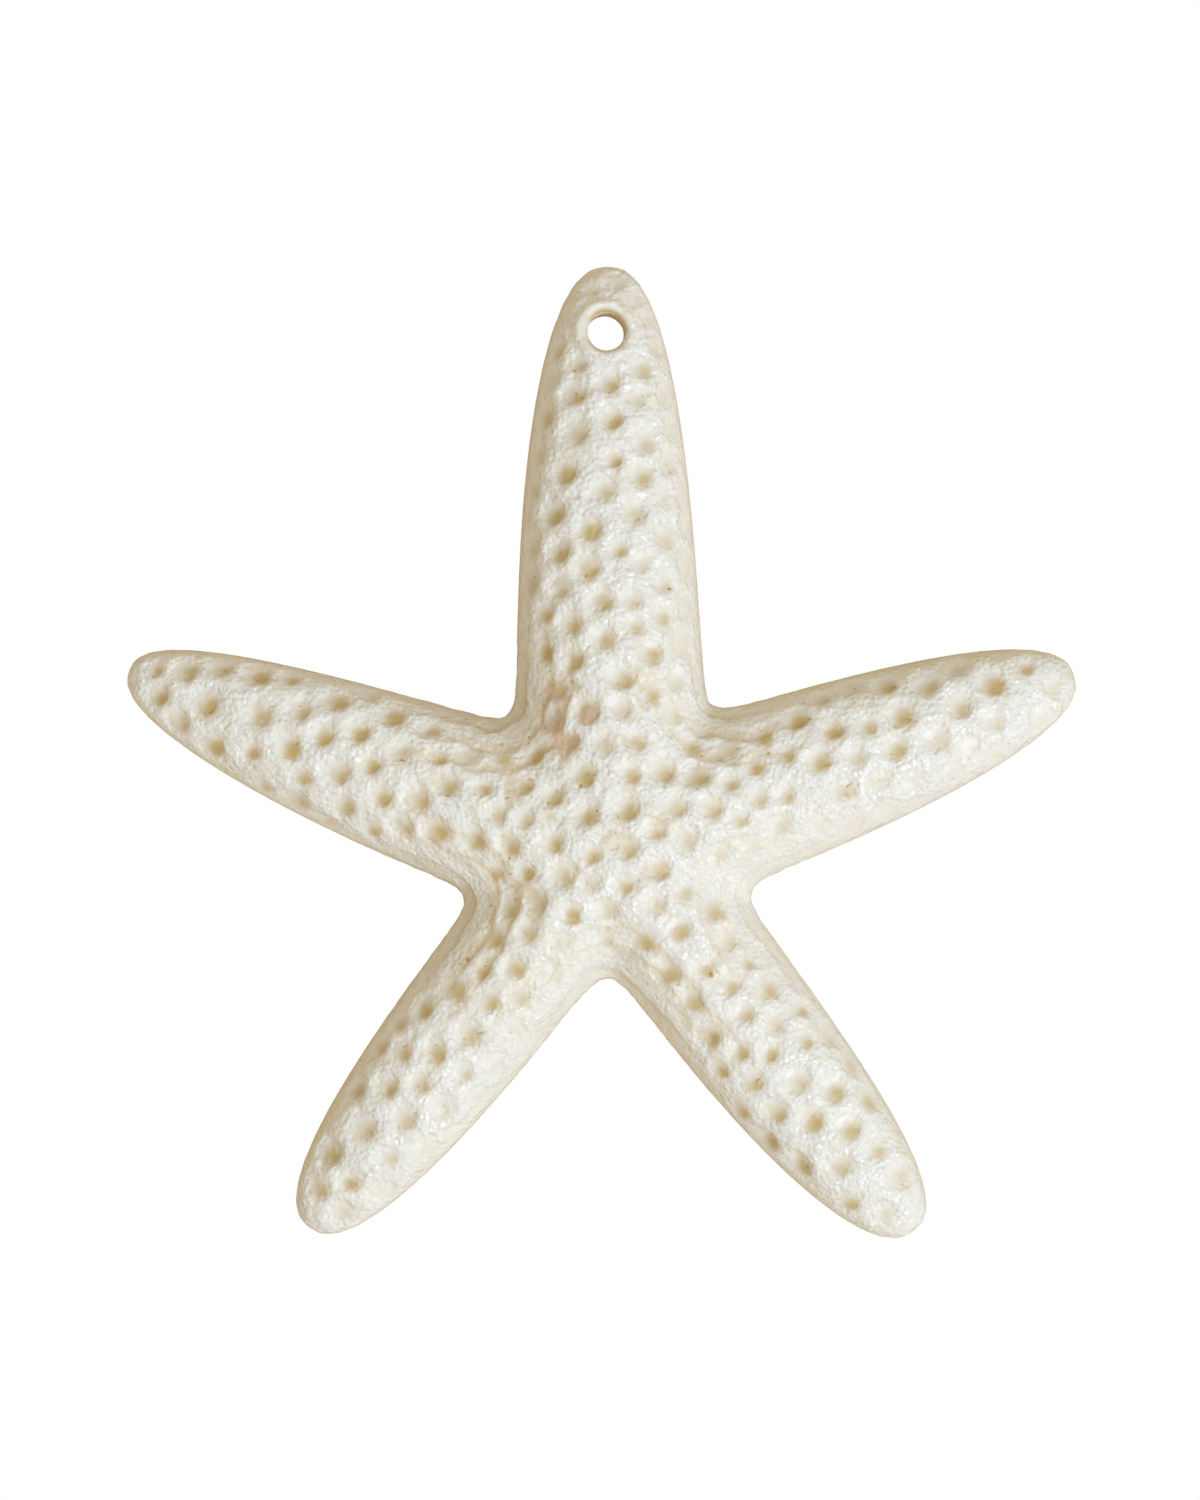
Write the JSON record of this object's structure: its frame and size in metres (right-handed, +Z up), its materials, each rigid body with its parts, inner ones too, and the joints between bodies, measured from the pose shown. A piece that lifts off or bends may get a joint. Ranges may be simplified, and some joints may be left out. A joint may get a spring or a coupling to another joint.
{
  "type": "dried starfish",
  "caption": "Dried finger starfish with tapering round-tipped arms, a pitted back, grooves under the arms and a small hole drilled through near one tip.",
  "frame": {"origin": "on the surface the starfish lies on, under the middle of its bounding box", "axes": "+Z up out of the back, +Y along the drilled arm from the disc to its tip, +X to the right seen from above"},
  "size_m": [0.06, 0.0614, 0.0086],
  "materials": {
    "bleached_skeleton": "bleached ivory calcite with a waxy, half-gloss surface, white on the ridges and tan in the pits"
  },
  "bodies": {
    "root": {"starfish": "bleached_skeleton"}
  },
  "joints": []
}
